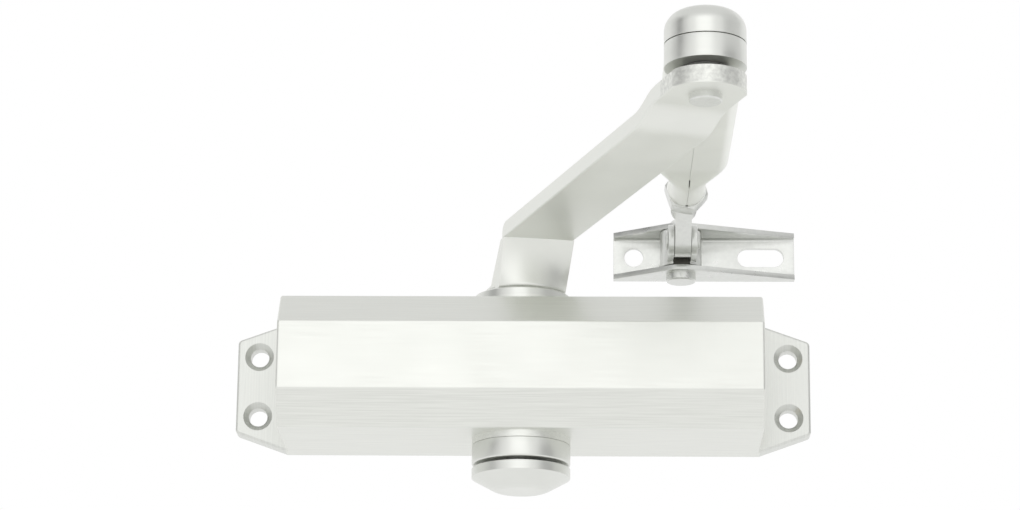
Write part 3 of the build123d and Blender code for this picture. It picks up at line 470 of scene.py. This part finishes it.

# %% [markdown]
# Rod, nut, knuckle and bracket are bright zinc-plated steel; the pieces inside are ground steel, bronze,
# brass and rubber. Each gets its own colour, a cloudy variation with finer spots in it, and a fine grain.
# The knuckle's finish is darkened close to the rivet's axis, inside its fork: painted shade for the deep
# slot.

# %% Zinc, steel, bronze, brass, rubber and the dark bush
# Dark and light shade, metallic, least and most roughness, and spots of grain to the metre
ZINC = ((0.68, 0.69, 0.665), (0.77, 0.78, 0.75), 0.9, 0.26, 0.38, 3000)
PLAIN_FINISHES = {
    "zinc_steel": ZINC,
    "greased_zinc": ZINC,
    "hard_steel": ((0.46, 0.46, 0.47), (0.56, 0.56, 0.57), 1.0, 0.22, 0.32, 3800),
    "bearing_bronze": ((0.48, 0.30, 0.15), (0.58, 0.38, 0.20), 1.0, 0.34, 0.46, 5000),
    "valve_brass": ((0.62, 0.46, 0.20), (0.74, 0.57, 0.28), 1.0, 0.22, 0.34, 3200),
    "seal_rubber": ((0.012, 0.012, 0.012), (0.03, 0.03, 0.03), 0.0, 0.55, 0.75, 2600),
    "dark_bush": ((0.10, 0.10, 0.095), (0.20, 0.20, 0.19), 0.5, 0.35, 0.5, 2400),
}
RIVET_AXIS = axis_through("bracket_rivet")
SLOT_SHADE_REACH = 5.7 * MM
PAINTED_SLOT_SHADE = (0.06, 0.058, 0.05, 1)
PLAIN_RELIEF = 0.005 * MM
for name, (dark, light, metallic, smooth, rough, spots) in PLAIN_FINISHES.items():
    tree, shader, here = new_finish(name, light, metallic, rough)
    cloud = grain(tree, here, 160, 4.0)
    patches = sum_of(tree, "MULTIPLY", sum_of(tree, "ADD", cloud, grain(tree, here, 900, 2.0)), 0.5)
    sparkle = grain(tree, here, spots, 1.0)
    shade = tint(tree, patches, dark, light)
    # Painted shade: darker close to the rivet's axis, inside the knuckle's fork
    if name == "greased_zinc":
        inside = sum_of(tree, "LESS_THAN", distance_from_axis(tree, here, RIVET_AXIS), SLOT_SHADE_REACH)
        shade = blend(tree, inside, shade, PAINTED_SLOT_SHADE)
    tree.links.new(shade, shader.inputs["Base Color"])
    tree.links.new(spread(tree, cloud, smooth, rough), shader.inputs["Roughness"])
    raise_bump(tree, shader, sparkle, PLAIN_RELIEF)
print("finishes", sorted(FINISHES))

# %% [markdown]
# No edge of the real object is knife-sharp: stamping, tumbling and plating leave a small round that
# catches the light. The larger rounds are in the CAD pieces already. For the small ones a copy of the
# piece is merged and cleaned, and a Bevel modifier rounds its sharp edges. The CAD piece stays as it was.

# %% Soft edges on the small pieces
MERGE = 0.001 * MM
FLAT_ENOUGH = math.radians(0.3)
SHARP = math.radians(38)
WORN_SEGMENTS = 3
# Width of each piece's worn edges, in millimetres
SOFT_EDGES = {"lock_nut": 0.35, "frame_bracket": 0.30, "swivel_knuckle": 0.40, "tilt_pin": 0.25,
              "arm_screw": 0.25, "arm_washer": 0.20, "elbow_hub": 0.30, "lower_bearing_ring": 0.30}


def merged_copy(name):
    """Copy a CAD piece, merge its loose triangles, and let the copy stand for it."""
    bpy.ops.object.select_all(action="DESELECT")
    piece = bpy.data.objects.new("soft_" + name, nodes[name].data.copy())
    bpy.context.collection.objects.link(piece)
    bpy.context.view_layer.objects.active = piece
    piece.select_set(True)
    bpy.ops.mesh.customdata_custom_splitnormals_clear()
    bpy.ops.object.mode_set(mode="EDIT")
    bpy.ops.mesh.select_all(action="SELECT")
    bpy.ops.mesh.remove_doubles(threshold=MERGE)
    bpy.ops.object.mode_set(mode="OBJECT")
    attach(piece, *body_of(nodes[name]))
    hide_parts(name)
    return piece


def soften(name, width):
    """Stand a copy with rounded edges in for a CAD piece, and return it."""
    piece = merged_copy(name)
    bpy.ops.object.mode_set(mode="EDIT")
    bpy.ops.mesh.select_all(action="SELECT")
    bpy.ops.mesh.dissolve_limited(angle_limit=FLAT_ENOUGH)
    bpy.ops.object.mode_set(mode="OBJECT")
    worn = piece.modifiers.new("worn edge", "BEVEL")
    worn.width = width
    worn.segments = WORN_SEGMENTS
    worn.limit_method = "ANGLE"
    worn.angle_limit = SHARP
    bpy.ops.object.modifier_apply(modifier=worn.name)
    bpy.ops.object.shade_smooth_by_angle(angle=SHARP)
    return piece


stand_ins = {name: soften(name, width * MM) for name, width in SOFT_EDGES.items()}
for name, piece in stand_ins.items():
    print(name, len(piece.data.polygons), "faces", [round(d / MM, 2) for d in piece.dimensions])

# %% [markdown]
# The closing spring is pressed together when the door opens. Its coil isn't bent in Blender: a merged,
# smooth-shaded copy of it, with its own mesh, stands in for it.

# %% The closing spring
spring = merged_copy("closing_spring")
bpy.ops.object.shade_smooth_by_angle(angle=SHARP)
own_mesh(spring)
stand_ins["closing_spring"] = spring

# %% [markdown]
# The adjusting rod carries a coarse screw thread, which is what the lock nut turns on. A thread is a
# groove cut into the rod, but it looks the same as a ridge wound on to it, and a ridge needs no cutting:
# a triangle is turned along the axis by a Screw modifier, and its two open ends are closed.

# %% The thread on the adjusting rod
PITCH = 1.25 * MM
CREST_R = 3.98 * MM
RIDGE = 0.62 * MM
RIDGE_SIDES = 3
THREAD_FROM, THREAD_TO = -9.0 * MM, 21.2 * MM
STEPS = 24
nut_joint = joint_named("lock_nut_spin")
along_rod = Vector(nut_joint["axis"]).normalized()
thread_start = Vector(nut_joint["pos_m"]) + along_rod * THREAD_FROM

bpy.ops.object.select_all(action="DESELECT")
bpy.ops.mesh.primitive_circle_add(vertices=RIDGE_SIDES, radius=RIDGE)
thread = bpy.context.object
thread.name = "rod_thread"
bpy.ops.object.mode_set(mode="EDIT")
bpy.ops.mesh.select_all(action="SELECT")
bpy.ops.transform.rotate(value=math.pi / 2, orient_axis="Z", center_override=(0, 0, 0))
bpy.ops.transform.rotate(value=math.pi / 2, orient_axis="X", center_override=(0, 0, 0))
bpy.ops.object.mode_set(mode="OBJECT")
crest = max(vertex.co.x for vertex in thread.data.vertices)
bpy.ops.object.mode_set(mode="EDIT")
bpy.ops.transform.translate(value=(CREST_R - crest, 0, 0))
bpy.ops.object.mode_set(mode="OBJECT")
winding = thread.modifiers.new("winding", "SCREW")
winding.axis = "Z"
winding.angle = 2 * math.pi
winding.screw_offset = PITCH
winding.iterations = round((THREAD_TO - THREAD_FROM) / PITCH)
winding.steps = STEPS
winding.render_steps = STEPS
winding.use_merge_vertices = False
bpy.ops.object.modifier_apply(modifier=winding.name)
bpy.ops.object.mode_set(mode="EDIT")
bpy.ops.mesh.select_all(action="SELECT")
bpy.ops.mesh.fill_holes(sides=RIDGE_SIDES)
bpy.ops.mesh.normals_make_consistent(inside=False)
bpy.ops.object.mode_set(mode="OBJECT")
thread.location = thread_start
thread.rotation_euler = along_rod.to_track_quat("Z", "Y").to_euler()
bpy.ops.object.transform_apply(location=True, rotation=True, scale=True)
bpy.ops.object.shade_smooth_by_angle(angle=SHARP)
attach(thread, "rod")
thread.data.materials.append(FINISHES["zinc_steel"])
print("thread", len(thread.data.polygons), "faces", [round(d / MM, 2) for d in thread.dimensions])

# %% [markdown]
# The record already says which finish slot each piece has. Only a few need their own: the turned pieces
# of the elbow, whose rings have another centre, the forearm with its painted light, and the knuckle with
# painted shade in its fork.

# %% Give every piece its finish
OWN_FINISH = {"elbow_hub": "turned_silver_elbow", "elbow_dome_cap": "turned_silver_elbow",
              "forearm_tube": "tube_silver", "swivel_knuckle": "greased_zinc"}
for entry in frame["record"]["subparts"]:
    name = entry["node"]
    chosen = OWN_FINISH.get(name, entry["material_slot"])
    piece = stand_ins.get(name, nodes[name])
    piece.data.materials.clear()
    piece.data.materials.append(FINISHES[chosen])
print("dressed", len(nodes), "pieces")
